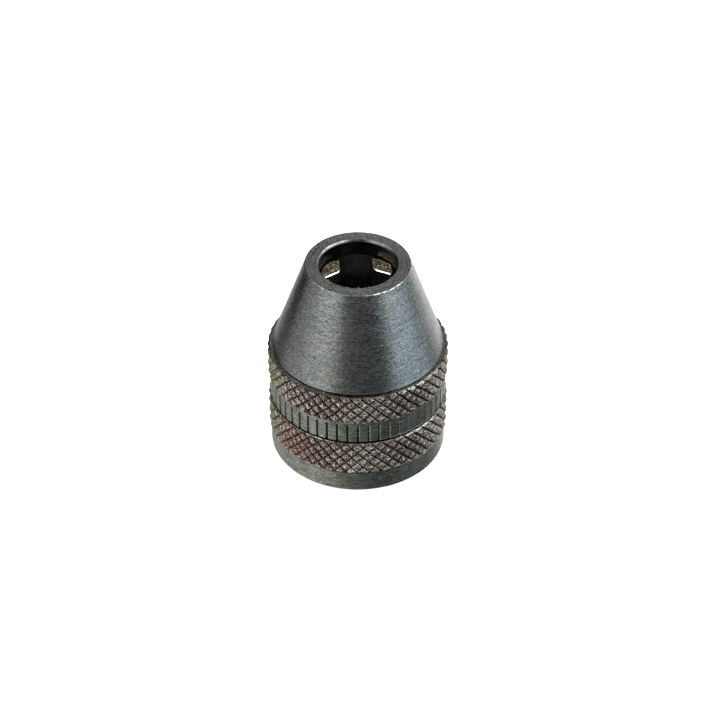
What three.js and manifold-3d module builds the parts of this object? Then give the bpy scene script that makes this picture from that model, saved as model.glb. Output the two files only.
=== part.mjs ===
// A small keyless three-jaw drill chuck for a rotary tool.
// Millimetres. The origin is on the axis at the flat underside, and +Z runs up through the nose.
//
// How it works: a base screws onto the tool's spindle and carries an externally threaded neck.
// A sleeve turns freely on the base, held down by a snap ring. A nut rides the neck's thread and
// is keyed to the sleeve, so turning the sleeve lifts the nut. The nut pushes three jaws up the
// sleeve's inner cone, which closes them, and three springs between the jaws open them again.

import * as THREE from 'three';
import { mergeVertices } from 'three/addons/utils/BufferGeometryUtils.js';
import Module from 'manifold-3d';

const wasm = await Module();
wasm.setup();

// Overall size
const HEIGHT = 23.9;
const KNURL_CREST = 10.0;
const KNURL_ROOT = 9.62;
const BAND_RADIUS = 9.76;
const KNURL_COLUMNS = 96;
const KNURL_ROW = 0.68;
const KNURL_RIM_RADIUS = 9.72;
const KNURL_CHAMFER = 0.26;

// Nose and its outer cone
const NOSE_RADIUS = 5.75;
const MOUTH_RADIUS = 4.17;
const MOUTH_CHAMFER = 0.2;
const NOSE_EDGE = 0.07;
const CONE_BASE_RADIUS = 9.4;
const CONE_BASE_Z = 13.45;
const SHOULDER_Z = 13.3;

// Inner cone that the jaws slide up, given as its radius at the jaws' top at rest
const CONE_SLOPE = 0.488;
const JAW_TOP_Z = 22.2;
const JAW_BOTTOM_Z = 15.2;
const CONE_RADIUS_AT_JAW_TOP = 4.07;
const BORE_RADIUS = 7.55;

// Sleeve below the cone
const SEAT_RADIUS = 8.8;
const SKIRT_RADIUS = 8.45;
const SKIRT_BOTTOM_Z = 3.45;
const SLEEVE_STEP_Z = 6.95;

// Grip ring pressed on the sleeve
const GRIP_BORE_RADIUS = 8.85;
const GRIP_TOP_Z = 13.25;
const GRIP_KNURL_BOTTOM_Z = 9.72;
const GRIP_EDGE = 0.12;
const FLUTE_COUNT = 53;
const FLUTE_TOP_Z = 9.4;
const FLUTE_DEPTH = 0.16;

// Base ring
const BASE_TOP_Z = 6.8;
const BASE_KNURL_BOTTOM_Z = 2.6;
const BASE_EDGE = 0.1;
const CUP_RADIUS = 8.75;
const CUP_FLOOR_Z = 3.0;

// Threaded core
const CORE_FLANGE_RADIUS = 7.5;
const CORE_HUB_RADIUS = 7.2;
const CORE_HUB_TOP_Z = 7.2;
const NECK_RADIUS = 4.0;
const NECK_TOP_Z = 14.9;
const NECK_CHAMFER = 0.4;
const SOCKET_RADIUS = 3.65;
const SOCKET_DEPTH = 7.0;
const SOCKET_MOUTH_RADIUS = 4.3;
const SHANK_HOLE_RADIUS = 2.1;

// Snap ring between the skirt and the cup, and the washer under the skirt
const SNAP_RING_RADIUS = 8.6;
const SNAP_RING_WIRE = 0.3;
const SNAP_RING_GAP = Math.PI / 9;
const SNAP_GROOVE_Z = 4.8;
const SNAP_GROOVE_HALF = 0.35;
const SNAP_GROOVE_DEPTH = 0.3;
const WASHER_INNER = 7.65;
const WASHER_OUTER = 8.45;
const WASHER_BOTTOM_Z = 3.05;
const WASHER_TOP_Z = 3.4;

// Nut
const NUT_BORE_RADIUS = 4.12;
const NUT_BOTTOM_Z = 7.5;
const NUT_FLANGE_TOP_Z = 9.0;
const NUT_FLANGE_RADIUS = 7.35;
const NUT_TUBE_RADIUS = 5.35;
const FOOT_SLOT_WIDTH = 2.4;
const FOOT_SLOT_DEPTH = 1.0;

// Keys between the nut and the sleeve
const KEY_WIDTH = 1.5;
const KEY_INNER = 6.45;
const KEY_OUTER = 7.75;
const KEY_CLEARANCE = 0.05;
const KEYWAY_WIDTH = 1.7;
const KEYWAY_RADIUS = 7.9;
const KEYWAY_TOP_Z = 14.2;

// Jaws
const JAW_COUNT = 3;
const FIRST_JAW_ANGLE = THREE.MathUtils.degToRad(35);
const JAW_TRAVEL = 4.0;
const JAW_APEX = 2.05;
const JAW_TIP = 2.2;
const JAW_CLEARANCE = 0.08;
const JAW_REACH = 12;
const FOOT_WIDTH = 2.2;
const FOOT_INNER = 4.3;
const FOOT_OUTER = 6.6;
const FOOT_DEPTH = 0.9;

// Springs between the jaws, and the blind holes that hold them
const SPRING_Z = 17.6;
const SPRING_ALONG_FACET = 2.3;
const SPRING_HOLE_RADIUS = 0.8;
const SPRING_HOLE_DEPTH = 1.8;
const SPRING_END_GAP = 0.05;
const SPRING_COIL_RADIUS = 0.5;
const SPRING_WIRE = 0.15;
const SPRING_TURNS = 7;

const PRESS_GAP = 0.05;

// Facets, and how far a cutter runs past what it cuts
const SEGMENTS = 48;
const HOLE_SIDES = 16;
const RING_WIRE_SIDES = 6;
const SPRING_WIRE_SIDES = 5;
const STEPS_PER_TURN = 8;
const CUT_MARGIN = 1;

const JAW_STEP = (2 * Math.PI) / JAW_COUNT;
const HALF_VEE = THREE.MathUtils.degToRad(60);

const BLACK_OXIDE = { color: 0x3a403e, roughness: 0.42, metalness: 0.9 };
const KNURLED_STEEL = { color: 0x433f39, roughness: 0.55, metalness: 0.85 };
const PLAIN_STEEL = { color: 0x6b6c6a, roughness: 0.4, metalness: 0.95 };
const JAW_STEEL = { color: 0x5c5340, roughness: 0.6, metalness: 0.8 };
const SPRING_STEEL = { color: 0x9a9c9e, roughness: 0.3, metalness: 1.0 };

// Solids: a closed geometry becomes a Manifold for cutting and joining, and comes back.

function toSolid(geometry) {
  const bare = geometry.clone();
  bare.deleteAttribute('normal');
  bare.deleteAttribute('uv');
  const merged = mergeVertices(bare, 1e-5);
  return new wasm.Manifold(new wasm.Mesh({
    numProp: 3,
    vertProperties: Float32Array.from(merged.attributes.position.array),
    triVerts: Uint32Array.from(merged.index.array),
  }));
}

function toGeometry(solid) {
  const mesh = solid.getMesh();
  const geometry = new THREE.BufferGeometry();
  geometry.setAttribute('position', new THREE.BufferAttribute(mesh.vertProperties, 3));
  geometry.setIndex(new THREE.BufferAttribute(mesh.triVerts, 1));
  geometry.computeVertexNormals();
  return geometry;
}

// A solid turned about Z from a closed profile of [radius, z] points, outer side upwards.
function turned(profile, segments = SEGMENTS) {
  const points = profile.map(([radius, z]) => new THREE.Vector2(radius, z));
  points.push(points[0].clone());
  return new THREE.LatheGeometry(points, segments).rotateX(Math.PI / 2);
}

// A box that starts at radius `inner` and runs outwards along `angle`.
function radialBox(inner, outer, width, bottom, top, angle) {
  const box = new THREE.BoxGeometry(outer - inner, width, top - bottom);
  return box.translate((inner + outer) / 2, 0, (bottom + top) / 2).rotateZ(angle);
}

function named(name, geometry, finish) {
  const mesh = new THREE.Mesh(geometry, new THREE.MeshStandardMaterial(finish));
  mesh.name = name;
  return mesh;
}

function jawAngle(index) {
  return FIRST_JAW_ANGLE + index * JAW_STEP;
}

function betweenJaws(index) {
  return jawAngle(index) + JAW_STEP / 2;
}

function innerConeRadius(z) {
  return CONE_RADIUS_AT_JAW_TOP + (JAW_TOP_Z - z) * CONE_SLOPE;
}

// Profile rows of a knurled band, all at the crest radius.
function knurlRows(bottom, top) {
  const count = Math.round((top - bottom) / KNURL_ROW);
  const rows = [];
  for (let row = 1; row < count; row += 1) {
    rows.push([KNURL_CREST, bottom + ((top - bottom) * row) / count]);
  }
  return rows;
}

// Sinks every other vertex of the band's rows to the root. Each face is then split from root to
// root, so that every crest stands as a four-sided diamond.
function cutKnurl(geometry, bottom, top) {
  const count = Math.round((top - bottom) / KNURL_ROW);
  const position = geometry.attributes.position;
  const isCrest = [];
  for (let index = 0; index < position.count; index += 1) {
    const x = position.getX(index);
    const y = position.getY(index);
    const row = Math.round(((position.getZ(index) - bottom) / (top - bottom)) * count);
    const column = Math.round((Math.atan2(y, x) / (2 * Math.PI)) * KNURL_COLUMNS);
    const inBand = Math.hypot(x, y) > (KNURL_CREST + BAND_RADIUS) / 2;
    isCrest.push(inBand && Math.abs(row + column) % 2 === 0);
    if (inBand && !isCrest[index]) {
      position.setX(index, (x * KNURL_ROOT) / KNURL_CREST);
      position.setY(index, (y * KNURL_ROOT) / KNURL_CREST);
    }
  }
  const corners = geometry.index.array;
  for (let face = 0; face < corners.length; face += 6) {
    const [a, b, d, c] = corners.slice(face, face + 4);
    if (isCrest[b] || isCrest[d]) {
      corners.set([a, b, c, a, c, d], face);
    }
  }
  return geometry;
}

// Base: what screws onto the spindle

function spindleCore() {
  return turned([
    [SOCKET_MOUTH_RADIUS, 0],
    [CORE_FLANGE_RADIUS, 0],
    [CORE_FLANGE_RADIUS, CUP_FLOOR_Z],
    [CORE_HUB_RADIUS, CUP_FLOOR_Z],
    [CORE_HUB_RADIUS, CORE_HUB_TOP_Z],
    [NECK_RADIUS, CORE_HUB_TOP_Z],
    [NECK_RADIUS, NECK_TOP_Z - NECK_CHAMFER],
    [NECK_RADIUS - NECK_CHAMFER, NECK_TOP_Z],
    [SHANK_HOLE_RADIUS, NECK_TOP_Z],
    [SHANK_HOLE_RADIUS, SOCKET_DEPTH],
    [SOCKET_RADIUS, SOCKET_DEPTH],
    [SOCKET_RADIUS, SOCKET_MOUTH_RADIUS - SOCKET_RADIUS],
  ]);
}

function baseRing() {
  const bore = CORE_FLANGE_RADIUS + PRESS_GAP;
  const knurlTop = BASE_TOP_Z - KNURL_CHAMFER;
  const blank = turned([
    [bore, 0],
    [BAND_RADIUS - BASE_EDGE, 0],
    [BAND_RADIUS, BASE_EDGE],
    [BAND_RADIUS, BASE_KNURL_BOTTOM_Z],
    ...knurlRows(BASE_KNURL_BOTTOM_Z, knurlTop),
    [BAND_RADIUS, knurlTop],
    [KNURL_RIM_RADIUS, BASE_TOP_Z],
    [CUP_RADIUS, BASE_TOP_Z],
    [CUP_RADIUS, SNAP_GROOVE_Z + SNAP_GROOVE_HALF],
    [CUP_RADIUS + SNAP_GROOVE_DEPTH, SNAP_GROOVE_Z + SNAP_GROOVE_HALF],
    [CUP_RADIUS + SNAP_GROOVE_DEPTH, SNAP_GROOVE_Z - SNAP_GROOVE_HALF],
    [CUP_RADIUS, SNAP_GROOVE_Z - SNAP_GROOVE_HALF],
    [CUP_RADIUS, CUP_FLOOR_Z],
    [bore, CUP_FLOOR_Z],
  ], KNURL_COLUMNS);
  return cutKnurl(blank, BASE_KNURL_BOTTOM_Z, knurlTop);
}

class RingArc extends THREE.Curve {
  getPoint(t, target = new THREE.Vector3()) {
    const angle = SNAP_RING_GAP / 2 + t * (2 * Math.PI - SNAP_RING_GAP);
    return target.set(SNAP_RING_RADIUS * Math.cos(angle), SNAP_RING_RADIUS * Math.sin(angle), 0);
  }
}

// The section of a wire.
function polygon(radius, sides) {
  const corners = [];
  for (let side = 0; side < sides; side += 1) {
    const angle = (2 * Math.PI * side) / sides;
    corners.push(new THREE.Vector2(radius * Math.cos(angle), radius * Math.sin(angle)));
  }
  return new THREE.Shape(corners);
}

function snapRing() {
  const options = { steps: SEGMENTS, bevelEnabled: false, extrudePath: new RingArc() };
  return new THREE.ExtrudeGeometry(polygon(SNAP_RING_WIRE, RING_WIRE_SIDES), options);
}

function thrustWasher() {
  return turned([
    [WASHER_INNER, WASHER_BOTTOM_Z],
    [WASHER_OUTER, WASHER_BOTTOM_Z],
    [WASHER_OUTER, WASHER_TOP_Z],
    [WASHER_INNER, WASHER_TOP_Z],
  ]);
}

// Sleeve: what the hand turns

function noseSleeve() {
  const coneTopZ = JAW_TOP_Z - (MOUTH_RADIUS - CONE_RADIUS_AT_JAW_TOP) / CONE_SLOPE;
  const coneBottomZ = JAW_TOP_Z - (BORE_RADIUS - CONE_RADIUS_AT_JAW_TOP) / CONE_SLOPE;
  const grooveRadius = SKIRT_RADIUS - SNAP_GROOVE_DEPTH;
  let sleeve = toSolid(turned([
    [BORE_RADIUS, SKIRT_BOTTOM_Z],
    [SKIRT_RADIUS, SKIRT_BOTTOM_Z],
    [SKIRT_RADIUS, SNAP_GROOVE_Z - SNAP_GROOVE_HALF],
    [grooveRadius, SNAP_GROOVE_Z - SNAP_GROOVE_HALF],
    [grooveRadius, SNAP_GROOVE_Z + SNAP_GROOVE_HALF],
    [SKIRT_RADIUS, SNAP_GROOVE_Z + SNAP_GROOVE_HALF],
    [SKIRT_RADIUS, SLEEVE_STEP_Z],
    [SEAT_RADIUS, SLEEVE_STEP_Z],
    [SEAT_RADIUS, SHOULDER_Z],
    [CONE_BASE_RADIUS - NOSE_EDGE, SHOULDER_Z],
    [CONE_BASE_RADIUS, CONE_BASE_Z],
    [NOSE_RADIUS, HEIGHT - NOSE_EDGE],
    [NOSE_RADIUS - NOSE_EDGE, HEIGHT],
    [MOUTH_RADIUS + MOUTH_CHAMFER, HEIGHT],
    [MOUTH_RADIUS, HEIGHT - MOUTH_CHAMFER],
    [MOUTH_RADIUS, coneTopZ],
    [BORE_RADIUS, coneBottomZ],
  ]));
  for (let index = 0; index < JAW_COUNT; index += 1) {
    const keyway = radialBox(
      BORE_RADIUS - CUT_MARGIN, KEYWAY_RADIUS, KEYWAY_WIDTH,
      SKIRT_BOTTOM_Z - CUT_MARGIN, KEYWAY_TOP_Z, betweenJaws(index),
    );
    sleeve = sleeve.subtract(toSolid(keyway));
  }
  return toGeometry(sleeve);
}

function gripRing() {
  const knurlTop = GRIP_TOP_Z - KNURL_CHAMFER;
  const blank = turned([
    [GRIP_BORE_RADIUS, SLEEVE_STEP_Z],
    [BAND_RADIUS - GRIP_EDGE, SLEEVE_STEP_Z],
    [BAND_RADIUS, SLEEVE_STEP_Z + GRIP_EDGE],
    [BAND_RADIUS, GRIP_KNURL_BOTTOM_Z],
    ...knurlRows(GRIP_KNURL_BOTTOM_Z, knurlTop),
    [BAND_RADIUS, knurlTop],
    [KNURL_RIM_RADIUS, GRIP_TOP_Z],
    [GRIP_BORE_RADIUS, GRIP_TOP_Z],
  ], KNURL_COLUMNS);
  let band = toSolid(cutKnurl(blank, GRIP_KNURL_BOTTOM_Z, knurlTop));
  const corner = FLUTE_DEPTH * Math.SQRT2;
  const height = FLUTE_TOP_Z - SLEEVE_STEP_Z + CUT_MARGIN;
  for (let index = 0; index < FLUTE_COUNT; index += 1) {
    const cutter = new THREE.BoxGeometry(corner, corner, height).rotateZ(Math.PI / 4);
    cutter.translate(BAND_RADIUS, 0, FLUTE_TOP_Z - height / 2);
    cutter.rotateZ((2 * Math.PI * index) / FLUTE_COUNT);
    band = band.subtract(toSolid(cutter));
  }
  return toGeometry(band);
}

// Nut: what lifts the jaws

function thrustNut() {
  const nutTop = JAW_BOTTOM_Z;
  let nut = toSolid(turned([
    [NUT_BORE_RADIUS, NUT_BOTTOM_Z],
    [NUT_FLANGE_RADIUS, NUT_BOTTOM_Z],
    [NUT_FLANGE_RADIUS, NUT_FLANGE_TOP_Z],
    [NUT_TUBE_RADIUS, NUT_FLANGE_TOP_Z],
    [NUT_TUBE_RADIUS, nutTop],
    [NUT_BORE_RADIUS, nutTop],
  ]));
  for (let index = 0; index < JAW_COUNT; index += 1) {
    const footSlot = radialBox(
      NUT_BORE_RADIUS - CUT_MARGIN, NUT_TUBE_RADIUS + CUT_MARGIN, FOOT_SLOT_WIDTH,
      nutTop - FOOT_SLOT_DEPTH, nutTop + CUT_MARGIN, jawAngle(index),
    );
    const keySeat = radialBox(
      KEY_INNER - KEY_CLEARANCE, NUT_FLANGE_RADIUS + CUT_MARGIN, KEY_WIDTH + 2 * KEY_CLEARANCE,
      NUT_BOTTOM_Z - CUT_MARGIN, NUT_FLANGE_TOP_Z + CUT_MARGIN, betweenJaws(index),
    );
    nut = nut.subtract(toSolid(footSlot)).subtract(toSolid(keySeat));
  }
  return toGeometry(nut);
}

function driveKey() {
  return radialBox(KEY_INNER, KEY_OUTER, KEY_WIDTH, NUT_BOTTOM_Z, NUT_FLANGE_TOP_Z, 0);
}

// Jaw, made on the +X side and turned into place

// The facing facets of two neighbouring jaws are parallel, and each is this far from the axis.
const FACET_OFFSET = JAW_APEX * Math.sin(HALF_VEE);

function springHole(side) {
  const length = 2 * SPRING_HOLE_DEPTH;
  const hole = new THREE.CylinderGeometry(SPRING_HOLE_RADIUS, SPRING_HOLE_RADIUS, length, HOLE_SIDES);
  hole.rotateZ(side * HALF_VEE);
  hole.translate(
    JAW_APEX + SPRING_ALONG_FACET * Math.cos(HALF_VEE),
    side * SPRING_ALONG_FACET * Math.sin(HALF_VEE),
    SPRING_Z,
  );
  return hole;
}

function jaw() {
  const inwardTravel = JAW_TRAVEL * CONE_SLOPE;
  const backBottom = innerConeRadius(JAW_BOTTOM_Z) - inwardTravel - JAW_CLEARANCE;
  const backTop = innerConeRadius(JAW_TOP_Z) - inwardTravel - JAW_CLEARANCE;
  const back = new THREE.CylinderGeometry(backTop, backBottom, JAW_TOP_Z - JAW_BOTTOM_Z, SEGMENTS);
  back.rotateX(Math.PI / 2).translate(inwardTravel, 0, (JAW_TOP_Z + JAW_BOTTOM_Z) / 2);

  const tipHalf = (JAW_TIP - JAW_APEX) * Math.tan(HALF_VEE);
  const farHalf = (JAW_REACH - JAW_APEX) * Math.tan(HALF_VEE);
  const wedgeOutline = new THREE.Shape([
    new THREE.Vector2(JAW_TIP, -tipHalf),
    new THREE.Vector2(JAW_REACH, -farHalf),
    new THREE.Vector2(JAW_REACH, farHalf),
    new THREE.Vector2(JAW_TIP, tipHalf),
  ]);
  const wedge = new THREE.ExtrudeGeometry(wedgeOutline, { depth: HEIGHT, bevelEnabled: false });

  const foot = radialBox(
    FOOT_INNER, FOOT_OUTER, FOOT_WIDTH, JAW_BOTTOM_Z - FOOT_DEPTH, JAW_BOTTOM_Z + CUT_MARGIN, 0,
  );
  let solid = toSolid(back).intersect(toSolid(wedge)).add(toSolid(foot));
  for (const side of [-1, 1]) {
    solid = solid.subtract(toSolid(springHole(side)));
  }
  return toGeometry(solid);
}

// Spring, wound about the X axis and centred on the origin

class Coil extends THREE.Curve {
  getPoint(t, target = new THREE.Vector3()) {
    const angle = 2 * Math.PI * SPRING_TURNS * t;
    const length = 2 * (FACET_OFFSET + SPRING_HOLE_DEPTH - SPRING_END_GAP - SPRING_WIRE);
    return target.set(
      (t - 0.5) * length,
      SPRING_COIL_RADIUS * Math.cos(angle),
      SPRING_COIL_RADIUS * Math.sin(angle),
    );
  }
}

function jawSpring() {
  const options = { steps: SPRING_TURNS * STEPS_PER_TURN, bevelEnabled: false, extrudePath: new Coil() };
  return new THREE.ExtrudeGeometry(polygon(SPRING_WIRE, SPRING_WIRE_SIDES), options);
}

function placedSpring(index) {
  const spring = named(`jaw_spring_${index + 1}`, jawSpring(), SPRING_STEEL);
  const angle = betweenJaws(index);
  const distance = JAW_APEX * Math.cos(HALF_VEE) + SPRING_ALONG_FACET;
  spring.position.set(distance * Math.cos(angle), distance * Math.sin(angle), SPRING_Z);
  spring.rotation.z = angle + Math.PI / 2;
  return spring;
}

// Assembly

const base = new THREE.Group();
base.add(named('spindle_core', spindleCore(), PLAIN_STEEL));
base.add(named('base_ring', baseRing(), KNURLED_STEEL));
const wireRing = named('snap_ring', snapRing(), SPRING_STEEL);
wireRing.position.z = SNAP_GROOVE_Z;
base.add(wireRing);
base.add(named('thrust_washer', thrustWasher(), PLAIN_STEEL));

const sleeve = new THREE.Group();
sleeve.add(named('nose_sleeve', noseSleeve(), BLACK_OXIDE));
sleeve.add(named('grip_ring', gripRing(), KNURLED_STEEL));

const nut = new THREE.Group();
nut.add(named('thrust_nut', thrustNut(), PLAIN_STEEL));

const clamping = new THREE.Group();
for (let index = 0; index < JAW_COUNT; index += 1) {
  const key = named(`drive_key_${index + 1}`, driveKey(), PLAIN_STEEL);
  key.rotation.z = betweenJaws(index);
  nut.add(key);
  const placedJaw = named(`jaw_${index + 1}`, jaw(), JAW_STEEL);
  placedJaw.rotation.z = jawAngle(index);
  clamping.add(placedJaw);
  clamping.add(placedSpring(index));
}

const chuck = new THREE.Group();
chuck.add(base, sleeve, nut, clamping);

export default chuck;
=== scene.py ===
"""Looks of a small keyless drill chuck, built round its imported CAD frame."""

import math

import bpy
import numpy as np
from mathutils import Matrix, Vector


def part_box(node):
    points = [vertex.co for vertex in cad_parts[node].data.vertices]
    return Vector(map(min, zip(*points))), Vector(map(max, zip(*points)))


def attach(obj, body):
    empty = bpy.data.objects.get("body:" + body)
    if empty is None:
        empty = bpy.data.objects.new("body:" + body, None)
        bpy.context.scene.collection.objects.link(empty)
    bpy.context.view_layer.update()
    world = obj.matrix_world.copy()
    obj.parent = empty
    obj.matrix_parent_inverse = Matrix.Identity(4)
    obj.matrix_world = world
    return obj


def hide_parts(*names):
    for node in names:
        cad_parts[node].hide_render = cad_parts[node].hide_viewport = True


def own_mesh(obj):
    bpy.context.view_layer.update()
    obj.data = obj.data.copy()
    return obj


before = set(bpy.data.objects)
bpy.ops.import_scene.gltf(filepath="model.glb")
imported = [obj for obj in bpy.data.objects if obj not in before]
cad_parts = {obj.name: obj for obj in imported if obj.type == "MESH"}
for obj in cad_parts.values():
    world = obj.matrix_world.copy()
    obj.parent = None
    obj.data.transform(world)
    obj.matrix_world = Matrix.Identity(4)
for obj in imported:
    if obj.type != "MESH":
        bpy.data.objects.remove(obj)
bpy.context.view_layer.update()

MM = 0.001
TAU = 2 * math.pi


# Sizes in millimetres. Heights and outer radii come from the frame.

def mm_box(node):
    low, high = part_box(node)
    return low / MM, high / MM


NOSE_TOP = mm_box("nose_sleeve")[1].z
SLEEVE_FOOT = mm_box("nose_sleeve")[0].z
CREST = mm_box("base_ring")[1].x
BASE_TOP = mm_box("base_ring")[1].z
GRIP_BOTTOM = mm_box("grip_ring")[0].z
GRIP_TOP = mm_box("grip_ring")[1].z
CONE_BASE_RADIUS = mm_box("nose_sleeve")[1].x
CORE_TOP = mm_box("spindle_core")[1].z
NUT_BOTTOM = mm_box("thrust_nut")[0].z
JAW_TOP = mm_box("jaw_1")[1].z
JAW_HEIGHT = 7.0
JAW_BOTTOM = JAW_TOP - JAW_HEIGHT

BAND_RADIUS = 9.76
NOSE_RADIUS = 5.75
MOUTH_RADIUS = 4.17
MOUTH_CHAMFER = 0.2
CONE_BASE_Z = 13.45
SHOULDER_Z = 13.3
SEAT_RADIUS = 8.8
SKIRT_RADIUS = 8.45
BORE_RADIUS = 7.55
GRIP_BORE_RADIUS = 8.85
CUP_RADIUS = 8.75
CUP_FLOOR = 3.0
CORE_FLANGE_RADIUS = 7.5
CORE_HUB_RADIUS = 7.2
CORE_HUB_TOP = 7.2
SHANK_HOLE_RADIUS = 2.1
PRESS_GAP = 0.05
CUT_MARGIN = 1.0

NECK_RADIUS = 4.0
NECK_ROOT_RADIUS = NECK_RADIUS - 0.55
NECK_PITCH = 1.0
NECK_THREAD_DEPTH = 0.53
SOCKET_RADIUS = 3.62
SOCKET_DEPTH = 7.0
SOCKET_MOUTH_RADIUS = 4.3
SOCKET_PITCH = 0.75
SOCKET_THREAD_DEPTH = 0.38
THREAD_ROW_SPACING = 0.1
RADIUS_TOLERANCE = 0.01

NUT_BORE_RADIUS = 4.12
NUT_TUBE_RADIUS = 5.35
NUT_FLANGE_RADIUS = 7.35
NUT_FLANGE_HEIGHT = 1.5
NUT_THREAD_DEPTH = 0.5
NUT_THREAD_RADIUS_DROP = 0.55
FOOT_SLOT_INNER = 3.1
FOOT_SLOT_OUTER = 6.5
FOOT_SLOT_HALF = 1.2
FOOT_SLOT_DEPTH = 1.0
KEY_SEAT_INNER = 6.4
KEY_SEAT_OUTER = 8.5
KEY_SEAT_HALF = 0.8
KEY_SLOT_INNER = 6.5
KEY_SLOT_OUTER = 7.9
KEY_SLOT_HALF = 0.85
KEY_SLOT_TOP = 14.2
KEY_BEVEL = 0.12
WASHER_BORE_RADIUS = 7.65

SNAP_GROOVE_Z = 4.8
SNAP_GROOVE_HALF = 0.35
SNAP_GROOVE_DEPTH = 0.3
SNAP_RING_RADIUS = 8.6
SNAP_RING_WIRE = 0.291
SNAP_RING_GAP = math.radians(20)

CONE_SLOPE = 0.488
CONE_RADIUS_AT_JAW_TOP = 4.07
JAW_COUNT = 3
FIRST_JAW_ANGLE = math.radians(35)
JAW_TRAVEL = 4.0
JAW_APEX = 2.05
JAW_TIP = 2.2
JAW_CLEARANCE = 0.08
JAW_BEVEL = 0.075
JAW_FOOT_INNER = 4.3
JAW_FOOT_OUTER = 6.6
JAW_FOOT_HALF = 1.1
JAW_FOOT_HEIGHT = 0.9
HALF_VEE = math.radians(60)
SPRING_Z = 17.6
SPRING_ALONG_FACET = 2.3
SPRING_HOLE_RADIUS = 0.8
SPRING_HOLE_DEPTH = 1.8
SPRING_COIL_RADIUS = 0.5
SPRING_WIRE = 0.15
SPRING_TURNS = 7
SPRING_END_GAP = 0.05

KNURL_COUNT = 48
KNURL_PITCH = 1.36
KNURL_DEPTH = 0.38
KNURL_CROWN = 0.46
KNURL_RIM_RADIUS = 9.72
KNURL_CHAMFER = 0.26
KNURL_ROW_SPACING = 0.066
# Slant (1 falls to the right, -1 to the left), depth as a share, half width as a share of the pitch
KNURL_GROOVES = ((1, 1.0, 0.15), (-1, 0.8, 0.12))
COLUMNS_PER_PITCH = 20
FLUTE_COUNT = 53
FLUTE_TOP = 9.4
FLUTE_DEPTH = 0.2
FLUTE_STEEP_WIDTH = 0.06
FLUTE_SLOPE_WIDTH = 0.23
FLUTE_PHASE = math.radians(1.9)
GRIP_KNURL_BOTTOM = 9.72
BASE_KNURL_BOTTOM = 2.6
KNURL_STEP_HEIGHT = 0.13
KNURL_DRIFT = 0.04
KNURL_DENT = 0.03

SPRING_HALF_LENGTH = JAW_APEX * math.sin(HALF_VEE) + SPRING_HOLE_DEPTH - SPRING_END_GAP

# The radii between which an upright run is the knurled rings' outside
OUTSIDE = (BAND_RADIUS - RADIUS_TOLERANCE, BAND_RADIUS + RADIUS_TOLERANCE)


def jaw_angle(index):
    return FIRST_JAW_ANGLE + index * TAU / JAW_COUNT


def between_jaws(index):
    return jaw_angle(index) + TAU / JAW_COUNT / 2


def inner_cone_radius(z):
    return CONE_RADIUS_AT_JAW_TOP + (JAW_TOP - z) * CONE_SLOPE


def spread(low, high, spacing):
    """Evenly spaced values from low to high."""
    count = round((high - low) / spacing)
    return [low + (high - low) * step / count for step in range(count + 1)]


# Mesh helpers

def new_object(name, vertices, faces, smooth_angle=35):
    """An object from points in millimetres, smooth-shaded except at sharp edges."""
    mesh = bpy.data.meshes.new(name)
    points = np.asarray(vertices, float) * MM
    mesh.from_pydata(points.tolist(), [], [list(map(int, face)) for face in faces])
    mesh.validate()
    piece = bpy.data.objects.new(name, mesh)
    bpy.context.scene.collection.objects.link(piece)
    soften(piece, smooth_angle)
    return piece


def soften(piece, angle=35):
    mesh = piece.data
    mesh.polygons.foreach_set("use_smooth", [True] * len(mesh.polygons))
    mesh.set_sharp_from_angle(angle=math.radians(angle))


def rounded(corners, steps=4):
    """A closed profile from (radius, z, fillet) corners, with each fillet as an arc."""
    profile = []
    count = len(corners)
    for index, (r, z, fillet) in enumerate(corners):
        here = Vector((r, z))
        if fillet <= 0:
            profile.append((r, z))
            continue
        before = (Vector(corners[index - 1][:2]) - here).normalized()
        after = (Vector(corners[(index + 1) % count][:2]) - here).normalized()
        half = before.angle(after) / 2
        start = here + before * (fillet / math.tan(half))
        end = here + after * (fillet / math.tan(half))
        centre = here + (before + after).normalized() * (fillet / math.sin(half))
        spoke_a = start - centre
        turn = spoke_a.angle_signed(end - centre)
        for step in range(steps + 1):
            spoke = Matrix.Rotation(-turn * step / steps, 2) @ spoke_a
            profile.append(tuple(centre + spoke))
    return profile


def with_heights(profile, inner, outer, heights):
    """Adds a row at each height on the upright runs whose radius lies between two limits."""
    rows = []
    for index, point in enumerate(profile):
        rows.append(point)
        after = profile[(index + 1) % len(profile)]
        if abs(point[0] - after[0]) > 1e-6 or not inner <= point[0] <= outer:
            continue
        low, high = sorted((point[1], after[1]))
        between = sorted(height for height in heights if low + 0.005 < height < high - 0.005)
        if after[1] < point[1]:
            between.reverse()
        rows.extend((point[0], height) for height in between)
    return rows


def revolve(name, profile, columns, shape=None, smooth_angle=35, turn=0.0):
    """Turns a closed (radius, z) profile about Z. shape(r, z, angle) returns new radii."""
    rows = len(profile)
    radius = np.array([point[0] for point in profile])[:, None] * np.ones((1, columns))
    height = np.array([point[1] for point in profile])[:, None] * np.ones((1, columns))
    angle = np.ones((rows, 1)) * (np.arange(columns) * TAU / columns + turn)[None, :]
    if shape:
        radius = shape(radius, height, angle)
    vertices = np.stack(
        [radius * np.cos(angle), radius * np.sin(angle), height], axis=-1
    ).reshape(-1, 3)
    row = np.arange(rows)[:, None]
    column = np.arange(columns)[None, :]
    next_row = (row + 1) % rows
    next_column = (column + 1) % columns
    faces = np.stack([
        row * columns + column,
        row * columns + next_column,
        next_row * columns + next_column,
        next_row * columns + column,
    ], axis=-1).reshape(-1, 4)
    return new_object(name, vertices, faces, smooth_angle)


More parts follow.
